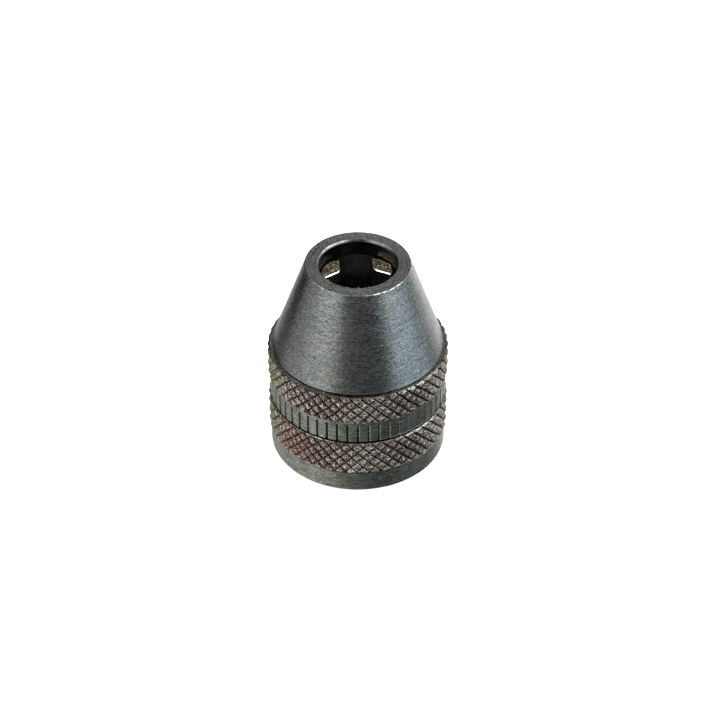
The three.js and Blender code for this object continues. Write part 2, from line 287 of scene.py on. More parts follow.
def tube(name, path, radius, sides=12):
    """A round wire along a path of points, with domed ends."""
    path = np.asarray(path, float)
    tangent = np.gradient(path, axis=0)
    tangent /= np.linalg.norm(tangent, axis=1)[:, None]
    side = np.cross(tangent[0], [0.0, 0.0, 1.0])
    if np.linalg.norm(side) < 0.1:
        side = np.cross(tangent[0], [0.0, 1.0, 0.0])
    rings = []
    for point, ahead in zip(path, tangent):
        side = side - ahead * side.dot(ahead)
        side /= np.linalg.norm(side)
        other = np.cross(ahead, side)
        turn = np.arange(sides) * TAU / sides
        rings.append(point + radius * (np.cos(turn)[:, None] * side + np.sin(turn)[:, None] * other))
    first, last = rings[0], rings[-1]
    dome = [(0.94, 0.34), (0.77, 0.64), (0.45, 0.89)]
    head = [path[0] + (first - path[0]) * k - tangent[0] * radius * d for k, d in reversed(dome)]
    tail = [path[-1] + (last - path[-1]) * k + tangent[-1] * radius * d for k, d in dome]
    rings = head + rings + tail
    vertices = np.concatenate(rings)
    faces = []
    for ring in range(len(rings) - 1):
        for k in range(sides):
            a = ring * sides + k
            b = ring * sides + (k + 1) % sides
            faces.append((a, b, b + sides, a + sides))
    faces.append(list(range(sides - 1, -1, -1)))
    faces.append(list(range((len(rings) - 1) * sides, len(rings) * sides)))
    return new_object(name, vertices, faces, 60)


def box_piece(low, high, angle):
    """A plain cutter box in millimetres, turned about Z."""
    corners = [(x, y, z) for x in (low[0], high[0]) for y in (low[1], high[1]) for z in (low[2], high[2])]
    faces = [(0, 1, 3, 2), (4, 6, 7, 5), (0, 4, 5, 1), (2, 3, 7, 6), (0, 2, 6, 4), (1, 5, 7, 3)]
    turn = Matrix.Rotation(angle, 3, "Z")
    return new_object("cutter", [turn @ Vector(c) for c in corners], faces)


def rod_piece(start, end, radius, sides=32):
    """A plain cutter rod in millimetres between two points."""
    start, end = Vector(start), Vector(end)
    axis = (end - start).normalized()
    side = axis.orthogonal().normalized()
    other = axis.cross(side)
    vertices = []
    for centre in (start, end):
        for k in range(sides):
            turn = TAU * k / sides
            vertices.append(centre + radius * (math.cos(turn) * side + math.sin(turn) * other))
    faces = [(k, (k + 1) % sides, sides + (k + 1) % sides, sides + k) for k in range(sides)]
    faces.append(list(range(sides - 1, -1, -1)))
    faces.append(list(range(sides, 2 * sides)))
    return new_object("cutter", vertices, faces)


def cut(piece, cutter, operation="DIFFERENCE"):
    """Applies one boolean and removes the cutter."""
    modifier = piece.modifiers.new("cut", "BOOLEAN")
    modifier.operation = operation
    modifier.object = cutter
    modifier.solver = "EXACT"
    apply_modifiers(piece)
    bpy.data.objects.remove(cutter)


def bevel(piece, width, segments=2, angle=30, material=-1):
    modifier = piece.modifiers.new("bevel", "BEVEL")
    modifier.width = width * MM
    modifier.segments = segments
    modifier.limit_method = "ANGLE"
    modifier.angle_limit = math.radians(angle)
    modifier.use_clamp_overlap = True
    modifier.material = material


def apply_modifiers(piece):
    graph = bpy.context.evaluated_depsgraph_get()
    mesh = bpy.data.meshes.new_from_object(piece.evaluated_get(graph))
    piece.modifiers.clear()
    piece.data = mesh


# Surface reliefs, as functions of the angle and height

WAVES = 9
MEAN_RADIUS = 9.0


def wander(angle, height, seed, size):
    """A smooth irregular field between about -1 and 1 that closes round the axis: waves with up to
    size turns round it, and about as many per millimetre up it."""
    draw = np.random.default_rng(seed)
    total = np.zeros_like(angle)
    for _ in range(WAVES):
        turns = draw.integers(1, size)
        rise = draw.uniform(-size, size) / MEAN_RADIUS
        total += np.sin(turns * angle + rise * height + draw.uniform(0, TAU))
    return total / math.sqrt(WAVES)


def knurl(radius, height, angle, low, high, seed):
    """Cuts crossed 45 degree grooves between two heights. The upper end is chamfered, and the
    lower end drops to the band in a ragged step."""
    around = KNURL_COUNT * angle / TAU
    drift = KNURL_DRIFT * wander(angle, height, seed, 20)
    press = 0.92 + 0.16 * wander(angle, height * 2, seed + 4, 60)
    above_low = height - low + 0.07 * wander(angle, height * 0, seed + 1, 90)
    below_high = high - height + 0.05 * wander(angle, height * 0, seed + 3, 80)
    groove = np.zeros_like(radius)
    for slant, depth, width in KNURL_GROOVES:
        line = around + slant * height / KNURL_PITCH + drift
        distance = np.abs(line - np.round(line))
        valley = depth * press * (1 - np.clip(distance / width, 0, 1))
        groove = np.maximum(groove, np.maximum(valley, KNURL_CROWN * (1 - 2 * distance)))
    dents = np.clip(wander(angle, height * 2, seed + 2, 110), 0, 2)
    crest = CREST - KNURL_DENT * dents - KNURL_DEPTH * groove
    chamfer_share = np.clip(below_high / KNURL_CHAMFER, 0, 1)
    step_share = np.clip(above_low / KNURL_STEP_HEIGHT, 0, 1)
    chamfer = KNURL_RIM_RADIUS + (CREST - KNURL_RIM_RADIUS) * chamfer_share
    step = BAND_RADIUS + (CREST - BAND_RADIUS) * step_share
    relief = np.minimum(np.minimum(chamfer, step), crest)
    inside = (height > low) & (height < high + 1e-4) & (radius > BAND_RADIUS - 0.01)
    return np.where(inside, np.minimum(relief, CREST), radius)


def flutes(radius, height, angle):
    """Sinks thin upright grooves into the smooth band below the upper knurl."""
    line = FLUTE_COUNT * (angle + FLUTE_PHASE) / TAU
    offset = (line - np.round(line)) * TAU * BAND_RADIUS / FLUTE_COUNT
    width = np.where(offset < 0, FLUTE_STEEP_WIDTH, FLUTE_SLOPE_WIDTH)
    depth = FLUTE_DEPTH * np.clip(1 - np.abs(offset) / width, 0, 1)
    fade = np.clip((FLUTE_TOP - height) / 0.12, 0, 1)
    inside = (height < FLUTE_TOP) & (radius > BAND_RADIUS - 0.3)
    return np.where(inside, radius - depth * fade, radius)


def thread(radius, height, angle, pitch, depth, low, high, hand):
    """Ridges of a screw thread that fade in over the first half turn at each end."""
    turn = height / pitch - hand * angle / TAU
    saw = np.abs(turn - np.floor(turn) - 0.5) * 2
    ridge = np.clip((saw - 0.12) / 0.76, 0, 1)
    fade = np.clip(np.minimum(height - low, high - height) / (pitch / 2), 0, 1)
    return radius + depth * ridge * fade


# Pieces

def make_nose_sleeve():
    cone_top = JAW_TOP - (MOUTH_RADIUS - CONE_RADIUS_AT_JAW_TOP) / CONE_SLOPE
    cone_bottom = JAW_TOP - (BORE_RADIUS - CONE_RADIUS_AT_JAW_TOP) / CONE_SLOPE
    groove = SKIRT_RADIUS - SNAP_GROOVE_DEPTH
    profile = rounded([
        (BORE_RADIUS, SLEEVE_FOOT, 0.12),
        (SKIRT_RADIUS, SLEEVE_FOOT, 0.12),
        (SKIRT_RADIUS, SNAP_GROOVE_Z - SNAP_GROOVE_HALF, 0.04),
        (groove, SNAP_GROOVE_Z - SNAP_GROOVE_HALF, 0.04),
        (groove, SNAP_GROOVE_Z + SNAP_GROOVE_HALF, 0.04),
        (SKIRT_RADIUS, SNAP_GROOVE_Z + SNAP_GROOVE_HALF, 0.04),
        (SKIRT_RADIUS, GRIP_BOTTOM, 0.05),
        (SEAT_RADIUS, GRIP_BOTTOM, 0.05),
        (SEAT_RADIUS, SHOULDER_Z, 0.04),
        (CONE_BASE_RADIUS - 0.12, SHOULDER_Z, 0.03),
        (CONE_BASE_RADIUS, CONE_BASE_Z - 0.02, 0.05),
        (NOSE_RADIUS, NOSE_TOP - 0.06, 0.03),
        (NOSE_RADIUS - 0.07, NOSE_TOP, 0.04),
        (MOUTH_RADIUS + MOUTH_CHAMFER, NOSE_TOP, 0.04),
        (MOUTH_RADIUS, NOSE_TOP - MOUTH_CHAMFER, 0.05),
        (MOUTH_RADIUS, cone_top, 0.1),
        (BORE_RADIUS, cone_bottom, 0.15),
    ])
    piece = revolve("nose_sleeve_turned", profile, 384)
    for index in range(JAW_COUNT):
        low = (KEY_SLOT_INNER, -KEY_SLOT_HALF, SLEEVE_FOOT - CUT_MARGIN)
        high = (KEY_SLOT_OUTER, KEY_SLOT_HALF, KEY_SLOT_TOP)
        cut(piece, box_piece(low, high, between_jaws(index)))
    soften(piece)
    return piece


def make_grip_ring():
    low, high = GRIP_KNURL_BOTTOM, GRIP_TOP
    corners = rounded([
        (GRIP_BORE_RADIUS, GRIP_BOTTOM, 0.05),
        (BAND_RADIUS - 0.12, GRIP_BOTTOM, 0.04),
        (BAND_RADIUS, GRIP_BOTTOM + 0.12, 0.04),
        (BAND_RADIUS, high, 0),
        (KNURL_RIM_RADIUS - 0.05, high, 0),
        (CONE_BASE_RADIUS - 0.05, high, 0.04),
        (GRIP_BORE_RADIUS, high, 0.05),
    ], 3)
    profile = with_heights(corners, *OUTSIDE, [
        *(FLUTE_TOP + offset for offset in (-0.25, -0.12, -0.06, 0, 0.03)),
        low - 0.08, low - 0.03, *spread(low, high - 0.01, KNURL_ROW_SPACING),
    ])
    columns = COLUMNS_PER_PITCH * FLUTE_COUNT
    turn = TAU / columns * round(columns * FLUTE_PHASE / TAU) - FLUTE_PHASE

    def relief(radius, height, angle):
        return flutes(knurl(radius, height, angle, low, high, 11), height, angle)

    return revolve("grip_ring_knurled", profile, columns, relief, 50, turn)


def make_base_ring():
    low, high = BASE_KNURL_BOTTOM, BASE_TOP
    bore = CORE_FLANGE_RADIUS + PRESS_GAP
    groove = CUP_RADIUS + SNAP_GROOVE_DEPTH
    corners = rounded([
        (bore, 0, 0.06),
        (BAND_RADIUS - 0.1, 0, 0.05),
        (BAND_RADIUS, 0.1, 0.05),
        (BAND_RADIUS, high, 0),
        (KNURL_RIM_RADIUS - 0.05, high, 0),
        (CUP_RADIUS, high, 0.08),
        (CUP_RADIUS, SNAP_GROOVE_Z + SNAP_GROOVE_HALF, 0.03),
        (groove, SNAP_GROOVE_Z + SNAP_GROOVE_HALF, 0.03),
        (groove, SNAP_GROOVE_Z - SNAP_GROOVE_HALF, 0.03),
        (CUP_RADIUS, SNAP_GROOVE_Z - SNAP_GROOVE_HALF, 0.03),
        (CUP_RADIUS, CUP_FLOOR, 0.1),
        (bore, CUP_FLOOR, 0.06),
    ], 2)
    profile = with_heights(corners, *OUTSIDE, [
        0.4, low - 0.3, low - 0.08, low - 0.03, *spread(low, high - 0.01, KNURL_ROW_SPACING),
    ])

    def relief(radius, height, angle):
        return knurl(radius, height, angle, low, high, 23)

    return revolve("base_ring_knurled", profile, COLUMNS_PER_PITCH * KNURL_COUNT, relief, 50)


def make_spindle_core():
    """The core with its right-hand spindle thread inside and its left-hand neck thread outside."""
    corners = rounded([
        (SOCKET_MOUTH_RADIUS, 0, 0.05),
        (CORE_FLANGE_RADIUS, 0, 0.08),
        (CORE_FLANGE_RADIUS, CUP_FLOOR, 0.06),
        (CORE_HUB_RADIUS, CUP_FLOOR, 0.1),
        (CORE_HUB_RADIUS, CORE_HUB_TOP, 0.15),
        (NECK_ROOT_RADIUS, CORE_HUB_TOP, 0.1),
        (NECK_ROOT_RADIUS, CORE_TOP - 0.25, 0),
        (NECK_ROOT_RADIUS - 0.2, CORE_TOP, 0.05),
        (SHANK_HOLE_RADIUS + 0.2, CORE_TOP, 0.05),
        (SHANK_HOLE_RADIUS, CORE_TOP - 0.2, 0.05),
        (SHANK_HOLE_RADIUS, SOCKET_DEPTH, 0.1),
        (SOCKET_RADIUS, SOCKET_DEPTH, 0.1),
        (SOCKET_RADIUS, SOCKET_MOUTH_RADIUS - SOCKET_RADIUS, 0),
    ], 3)
    neck_low, neck_high = CORE_HUB_TOP + 0.3, CORE_TOP - 0.2
    neck_rows = spread(neck_low - 0.2, neck_high + 0.2, THREAD_ROW_SPACING)
    socket_rows = spread(0.5, 6.9, THREAD_ROW_SPACING * SOCKET_PITCH)
    neck_limits = (NECK_ROOT_RADIUS - 0.05, NECK_ROOT_RADIUS + 0.05)
    socket_limits = (SOCKET_RADIUS - RADIUS_TOLERANCE, SOCKET_RADIUS + RADIUS_TOLERANCE)
    profile = with_heights(corners, *neck_limits, neck_rows)
    profile = with_heights(profile, *socket_limits, socket_rows)

    def within(values, low, high):
        return (values > low) & (values < high)

    def relief(radius, height, angle):
        neck = within(radius, *neck_limits) & within(height, neck_low, neck_high)
        socket = within(radius, *socket_limits) & within(height, 0.6, 6.85)
        outer = thread(radius, height, angle, NECK_PITCH, NECK_THREAD_DEPTH, neck_low, neck_high, -1)
        inner = thread(radius, height, angle, SOCKET_PITCH, SOCKET_THREAD_DEPTH, 0.4, 6.6, 1)
        return np.where(socket, inner, np.where(neck, outer, radius))

    return revolve("spindle_core_threaded", profile, 160, relief)


def make_thrust_nut():
    """The nut with its left-hand thread, foot slots and key seats."""
    top, flange_top = JAW_BOTTOM, NUT_BOTTOM + NUT_FLANGE_HEIGHT
    corners = rounded([
        (NUT_BORE_RADIUS, NUT_BOTTOM, 0),
        (NUT_FLANGE_RADIUS, NUT_BOTTOM, 0.12),
        (NUT_FLANGE_RADIUS, flange_top, 0.12),
        (NUT_TUBE_RADIUS, flange_top, 0.15),
        (NUT_TUBE_RADIUS, top, 0.1),
        (NUT_BORE_RADIUS, top, 0),
    ], 3)
    limits = (NUT_BORE_RADIUS - RADIUS_TOLERANCE, NUT_BORE_RADIUS + RADIUS_TOLERANCE)
    profile = with_heights(corners, *limits, spread(NUT_BOTTOM, top, THREAD_ROW_SPACING))
    # The thread's fade lies outside the nut, so the ridges run through at full depth.
    thread_low, thread_high = NUT_BOTTOM - 9, top + 9

    def relief(radius, height, angle):
        threaded = (radius < limits[1]) & (height > NUT_BOTTOM + 0.2) & (height < top - 0.2)
        shaped = thread(radius - NUT_THREAD_RADIUS_DROP, height, angle, NECK_PITCH, NUT_THREAD_DEPTH,
                        thread_low, thread_high, -1)
        return np.where(threaded, shaped, radius)

    piece = revolve("thrust_nut_threaded", profile, 144, relief)
    for index in range(JAW_COUNT):
        slot_low = (FOOT_SLOT_INNER, -FOOT_SLOT_HALF, top - FOOT_SLOT_DEPTH)
        slot_high = (FOOT_SLOT_OUTER, FOOT_SLOT_HALF, top + CUT_MARGIN)
        seat_low = (KEY_SEAT_INNER, -KEY_SEAT_HALF, NUT_BOTTOM - CUT_MARGIN)
        seat_high = (KEY_SEAT_OUTER, KEY_SEAT_HALF, flange_top + CUT_MARGIN)
        cut(piece, box_piece(slot_low, slot_high, jaw_angle(index)))
        cut(piece, box_piece(seat_low, seat_high, between_jaws(index)))
    soften(piece)
    return piece


def jaw_section(back_radius, inward):
    """Corners of a jaw's section on the +X side: a cut tip, two facets and a round back."""
    tip_half = (JAW_TIP - JAW_APEX) * math.tan(HALF_VEE)
    lean = 1 / math.tan(HALF_VEE)
    offset = JAW_APEX - inward
    a, b, c = 1 + lean ** 2, 2 * lean * offset, offset ** 2 - back_radius ** 2
    side = (-b + math.sqrt(b * b - 4 * a * c)) / (2 * a)
    edge = math.atan2(side, offset + lean * side)
    steps = 36
    section = [(JAW_TIP, tip_half), (JAW_TIP, -tip_half)]
    for step in range(steps + 1):
        turn = -edge + 2 * edge * step / steps
        section.append((inward + back_radius * math.cos(turn), back_radius * math.sin(turn)))
    return section


def make_jaw(index):
    inward = JAW_TRAVEL * CONE_SLOPE
    bottom = jaw_section(inner_cone_radius(JAW_BOTTOM) - inward - JAW_CLEARANCE, inward)
    top = jaw_section(inner_cone_radius(JAW_TOP) - inward - JAW_CLEARANCE, inward)
    count = len(bottom)
    vertices = [(x, y, JAW_BOTTOM) for x, y in bottom] + [(x, y, JAW_TOP) for x, y in top]
    faces = [(k, (k + 1) % count, count + (k + 1) % count, count + k) for k in range(count)]
    faces.append(list(range(count - 1, -1, -1)))
    faces.append(list(range(count, 2 * count)))
    piece = new_object(f"jaw_{index + 1}_ground", vertices, faces, 30)
    foot_low = (JAW_FOOT_INNER, -JAW_FOOT_HALF, JAW_BOTTOM - JAW_FOOT_HEIGHT)
    foot_high = (JAW_FOOT_OUTER, JAW_FOOT_HALF, JAW_BOTTOM + CUT_MARGIN)
    cut(piece, box_piece(foot_low, foot_high, 0), "UNION")
    for side in (-1, 1):
        mouth = Vector((
            JAW_APEX + SPRING_ALONG_FACET * math.cos(HALF_VEE),
            side * SPRING_ALONG_FACET * math.sin(HALF_VEE),
            SPRING_Z,
        ))
        into = Vector((math.sin(HALF_VEE), -side * math.cos(HALF_VEE), 0))
        cut(piece, rod_piece(mouth - into, mouth + into * SPRING_HOLE_DEPTH, SPRING_HOLE_RADIUS))
    piece.data.transform(Matrix.Rotation(jaw_angle(index), 4, "Z"))
    piece.data.materials.append(None)
    piece.data.materials.append(None)
    bevel(piece, JAW_BEVEL, 1, 28, 1)
    apply_modifiers(piece)
    soften(piece, 28)
    return piece


def make_spring(index):
    """A coil with a closed turn at each end, wound about the line between its two jaws."""
    reach = SPRING_HALF_LENGTH - SPRING_WIRE
    steps = SPRING_TURNS * 28
    closed = 1 / SPRING_TURNS
    lead = 2.2 * SPRING_WIRE / (2 * reach)
    points = []
    for step in range(steps + 1):
        share = step / steps
        turn = TAU * SPRING_TURNS * share
        if share < closed:
            along = lead * share / closed
        elif share > 1 - closed:
            along = 1 - lead * (1 - share) / closed
        else:
            along = lead + (1 - 2 * lead) * (share - closed) / (1 - 2 * closed)
        points.append((
            (2 * along - 1) * reach,
            SPRING_COIL_RADIUS * math.cos(turn),
            SPRING_COIL_RADIUS * math.sin(turn),
        ))
    piece = tube(f"jaw_spring_{index + 1}_wound", points, SPRING_WIRE, 12)
    angle = between_jaws(index)
    distance = JAW_APEX * math.cos(HALF_VEE) + SPRING_ALONG_FACET
    centre = Vector((distance * math.cos(angle), distance * math.sin(angle), SPRING_Z)) * MM
    piece.data.transform(Matrix.Translation(centre) @ Matrix.Rotation(angle + math.pi / 2, 4, "Z"))
    return piece, centre, Vector((-math.sin(angle), math.cos(angle), 0))


def make_snap_ring():
    steps = 240
    points = []
    for step in range(steps + 1):
        angle = SNAP_RING_GAP / 2 + (TAU - SNAP_RING_GAP) * step / steps
        points.append((SNAP_RING_RADIUS * math.cos(angle), SNAP_RING_RADIUS * math.sin(angle), SNAP_GROOVE_Z))
    return tube("snap_ring_wire", points, SNAP_RING_WIRE, 14)


def make_thrust_washer():
    low, high = mm_box("thrust_washer")
    profile = rounded([
        (WASHER_BORE_RADIUS, low.z, 0.06),
        (high.x, low.z, 0.06),
        (high.x, high.z, 0.06),
        (WASHER_BORE_RADIUS, high.z, 0.06),
    ], 3)
    return revolve("thrust_washer_stamped", profile, 192)


# Materials. Colours are linear red, green, blue and alpha.

QUARTER_TURN = 0.25
# Near black for painted shade in the knurls' grooves and on their rims.
PAINTED_SHADE_BLACK = (0.018, 0.014, 0.011, 1)
FRONT_LEFT_BROWN = (0.21, 0.165, 0.14, 1)
FRONT_RIGHT_RED_BROWN = (0.23, 0.175, 0.15, 1)
OLIVE = (0.34, 0.32, 0.2, 1)
# Steel grey for the painted highlight on the knurls' rims.
RIM_HIGHLIGHT = (0.5, 0.5, 0.48, 1)
# Pale for painted highlight lines, and dark for a painted shade line.
PAINTED_HIGHLIGHT_PALE = (0.75, 0.74, 0.7, 1)
PAINTED_SHADE_DARK = (0.02, 0.018, 0.015, 1)


class Shading:
    """A node material with a Principled shader and coordinates in millimetres."""

    def __init__(self, name, metallic=1.0, anisotropic=0.0):
        self.material = bpy.data.materials.new(name)
        self.material.use_nodes = True
        self.tree = self.material.node_tree
        self.tree.nodes.clear()
        self.shader = self.node("ShaderNodeBsdfPrincipled")
        self.shader.inputs["Metallic"].default_value = metallic
        self.shader.inputs["Anisotropic"].default_value = anisotropic
        self.shader.inputs["Anisotropic Rotation"].default_value = QUARTER_TURN
        output = self.node("ShaderNodeOutputMaterial")
        self.link(self.shader.outputs[0], output.inputs[0])
        coordinates = self.node("ShaderNodeTexCoord")
        scale = self.node("ShaderNodeVectorMath", operation="SCALE")
        scale.inputs["Scale"].default_value = 1 / MM
        self.link(coordinates.outputs["Object"], scale.inputs[0])
        self.position = scale.outputs[0]
        split = self.node("ShaderNodeSeparateXYZ")
        self.link(self.position, split.inputs[0])
        self.x, self.y, self.z = split.outputs
        squares = [self.math("MULTIPLY", flat, flat) for flat in (self.x, self.y)]
        self.radius = self.math("SQRT", self.math("ADD", *squares))

    def node(self, kind, **settings):
        made = self.tree.nodes.new(kind)
        for key, value in settings.items():
            setattr(made, key, value)
        return made

    def link(self, source, target):
        if isinstance(source, (int, float, tuple)):
            target.default_value = source
        else:
            self.tree.links.new(source, target)

    def math(self, operation, a, b=0.0):
        made = self.node("ShaderNodeMath", operation=operation)
        self.link(a, made.inputs[0])
        self.link(b, made.inputs[1])
        return made.outputs[0]

    def both(self, a, b):
        """The part that two masks share."""
        return self.math("MULTIPLY", a, b)

    def ramp(self, value, low, high, out_low=0.0, out_high=1.0):
        made = self.node("ShaderNodeMapRange")
        for socket, number in zip(made.inputs, (value, low, high, out_low, out_high)):
            self.link(number, socket)
        return made.outputs[0]

    def noise(self, vector, scale, detail=4.0, roughness=0.55):
        made = self.node("ShaderNodeTexNoise")
        self.link(vector, made.inputs["Vector"])
        made.inputs["Scale"].default_value = scale
        made.inputs["Detail"].default_value = detail
        made.inputs["Roughness"].default_value = roughness
        return made.outputs["Fac"]

    def vector(self, x, y, z):
        made = self.node("ShaderNodeCombineXYZ")
        for socket, number in zip(made.inputs, (x, y, z)):
            self.link(number, socket)
        return made.outputs[0]

    def mix(self, share, a, b):
        made = self.node("ShaderNodeMix", data_type="RGBA")
        self.link(share, made.inputs[0])
        self.link(a, made.inputs[6])
        self.link(b, made.inputs[7])
        return made.outputs[2]

    def near(self, centre, reach, softness=0.5):
        """1 at a place in millimetres, falling to 0 at reach, with a ragged edge."""
        made = self.node("ShaderNodeVectorMath", operation="DISTANCE")
        self.link(self.position, made.inputs[0])
        made.inputs[1].default_value = centre
        ragged = self.math("MULTIPLY", self.noise(self.position, 0.9, 5), reach * softness)
        return self.ramp(self.math("ADD", made.outputs["Value"], ragged), reach * 0.55, reach * 1.1, 1, 0)

    def turning(self, width, length):
        """Turning marks: short fine streaks round the axis, on walls, cones and flat faces alike."""
        across = self.math("DIVIDE", self.math("SUBTRACT", self.z, self.radius), width)
        along = [self.math("DIVIDE", flat, length) for flat in (self.x, self.y)]
        return self.noise(self.vector(*along, across), 1.0, 2.0, 0.6)

    def specks(self, spacing, size):
        """Sparse dots of dust and bare metal, in millimetres."""
        cells = self.node("ShaderNodeTexVoronoi")
        self.link(self.position, cells.inputs["Vector"])
        cells.inputs["Scale"].default_value = 1 / spacing
        share = size / spacing
        return self.ramp(cells.outputs["Distance"], share * 0.6, share, 1, 0)

    def bump(self, height, strength, distance):
        made = self.node("ShaderNodeBump")
        made.inputs["Strength"].default_value = strength
        made.inputs["Distance"].default_value = distance * MM
        self.link(height, made.inputs["Height"])
        self.link(made.outputs[0], self.shader.inputs["Normal"])

    def round_tangent(self):
        tangent = self.node("ShaderNodeTangent", direction_type="RADIAL", axis="Z")
        self.link(tangent.outputs[0], self.shader.inputs["Tangent"])

    def finish(self, color, roughness):
        self.link(color, self.shader.inputs["Base Color"])
        self.link(roughness, self.shader.inputs["Roughness"])
        return self.material


def black_oxide():
    """Turned steel blackened with a thin satin oxide, with a painted highlight in ragged patches on the right
    of the nose's outer edge.
    """
    s = Shading("black_oxide_turned", anisotropic=0.6)
    s.round_tangent()
    streaks = s.turning(0.12, 0.45)
    lines = s.turning(0.3, 3.0)
    grain = s.noise(s.position, 7.0, 2)
    blotches = s.noise(s.position, 0.5, 4)
    tone = s.math("ADD", s.math("MULTIPLY", streaks, 1.1), s.math("MULTIPLY", lines, 0.4))
    tone = s.math("ADD", tone, s.math("MULTIPLY", grain, 0.8))
    color = s.mix(s.ramp(tone, 0.88, 1.36), (0.06, 0.073, 0.069, 1), (0.325, 0.337, 0.331, 1))
    color = s.mix(s.ramp(blotches, 0.56, 0.72, 0, 0.5), color, (0.12, 0.165, 0.14, 1))

    # The nose's outer edge is half darkened, then painted bright in ragged patches on its right side: a
    # painted highlight.
    nose_edge = s.both(s.ramp(s.z, NOSE_TOP - 0.12, NOSE_TOP - 0.04),
                       s.ramp(s.radius, NOSE_RADIUS - 0.12, NOSE_RADIUS - 0.05))
    patchy_right_highlight = s.both(s.ramp(s.noise(s.position, 1.6, 5), 0.42, 0.6), s.ramp(s.x, -1.5, 2.5))
    color = s.mix(s.math("MULTIPLY", nose_edge, 0.5), color, (0.05, 0.055, 0.052, 1))
    color = s.mix(s.both(nose_edge, patchy_right_highlight), color, (0.5, 0.51, 0.5, 1))

    # Painted highlight: a lighter line all round the cone's foot edge.
    foot_edge_highlight = s.both(s.ramp(s.z, CONE_BASE_Z + 0.12, CONE_BASE_Z),
                       s.ramp(s.radius, CONE_BASE_RADIUS - 0.15, CONE_BASE_RADIUS - 0.05))
    color = s.mix(s.math("MULTIPLY", foot_edge_highlight, 0.5), color, (0.45, 0.46, 0.45, 1))

    chamfer_foot = NOSE_TOP - MOUTH_CHAMFER
    chamfer_rim = MOUTH_RADIUS + MOUTH_CHAMFER
    # Painted shade inside the bore below the mouth chamfer, with a painted brown reflection towards its lit
    # right-back side.
    bore = s.both(s.ramp(s.radius, MOUTH_RADIUS + 0.03, MOUTH_RADIUS + 0.01),
                  s.ramp(s.z, chamfer_foot, chamfer_foot - 0.06))
    lit_side = s.near((3.6, 2.4, NOSE_TOP - 1.0), 2.6)
    bore_shade = s.mix(lit_side, (0.06, 0.06, 0.06, 1), (0.17, 0.145, 0.11, 1))
    color = s.mix(s.math("MULTIPLY", bore, 0.92), color, bore_shade)

    # Painted shade on the mouth chamfer: darkened on its right side and along its inner part, so that only a
    # thin outer strip on the left shows a bright reflection.
    chamfer = s.both(s.ramp(s.z, chamfer_foot - 0.02, chamfer_foot),
                     s.ramp(s.radius, chamfer_rim, chamfer_rim - 0.03))
    chamfer_shade = s.math("MAXIMUM", s.ramp(s.x, -1.2, 0.6),
                  s.ramp(s.radius, MOUTH_RADIUS + 0.14, MOUTH_RADIUS + 0.08))
    color = s.mix(s.both(chamfer, s.math("MULTIPLY", chamfer_shade, 0.85)), color, (0.05, 0.05, 0.048, 1))

    s.bump(s.math("ADD", streaks, s.math("MULTIPLY", grain, 0.7)), 1.0, 0.026)
    return s.finish(color, s.ramp(s.math("ADD", streaks, blotches), 0.7, 1.3, 0.14, 0.27))


def knurl_diamonds(s, low, high, grain, blotches):
    """The diamonds' colour: brown steel with olive places and darker brown places at the front, dark pits,
    and painted glints on the crests.
    """
    middle = (low + high) / 2
    olive_side = s.near((-9.5, -3.6, middle), 4.6)
    color = s.mix(s.ramp(blotches, 0.38, 0.62), (0.37, 0.29, 0.24, 1), (0.52, 0.475, 0.405, 1))
    color = s.mix(olive_side, color, OLIVE)
    color = s.mix(s.ramp(s.noise(s.position, 0.3, 3), 0.58, 0.72, 0, 0.7), color, (0.38, 0.35, 0.23, 1))
    # Darker brown towards the front left and the front right.
    color = s.mix(s.near((-4.6, -8.6, middle), 5.2), color, FRONT_LEFT_BROWN)
    color = s.mix(s.near((5.8, -8.1, middle), 4.8), color, FRONT_RIGHT_RED_BROWN)
    color = s.mix(s.ramp(grain, 0.45, 0.53, 0.95, 0), color, (0.025, 0.02, 0.017, 1))
    # Painted glints: small bright spots on the crests.
    glints = s.both(s.ramp(s.radius, CREST - 0.16, CREST - 0.06), s.ramp(grain, 0.525, 0.575))
    return s.mix(glints, color, s.mix(olive_side, (1.0, 0.94, 0.86, 1), (0.74, 0.7, 0.5, 1)))


def rim_shade_and_highlight(s, high, rims, grain, color):
    """Darkens the knurl's chamfered upper rim as painted shade, and paints it bright near the named places,
    broken up by the grain, as a painted highlight.
    """
    foot = high - KNURL_CHAMFER
    on_rim = s.both(s.ramp(s.z, foot, foot + 0.06),
                    s.ramp(s.radius, KNURL_RIM_RADIUS - 0.12, KNURL_RIM_RADIUS - 0.08))
    # Painted shade on the rim.
    color = s.mix(s.math("MULTIPLY", on_rim, 0.62), color, PAINTED_SHADE_BLACK)
    for place, reach, depth in rims:
        # Painted highlight near each named place.
        rim_highlight = s.both(s.near((*place, high), reach), s.ramp(grain, 0.45, 0.54, 0.12, 1))
        rim_highlight = s.both(rim_highlight, s.ramp(s.z, high - depth, high - depth + 0.06))
        color = s.mix(s.both(on_rim, rim_highlight), color, RIM_HIGHLIGHT)
    return color


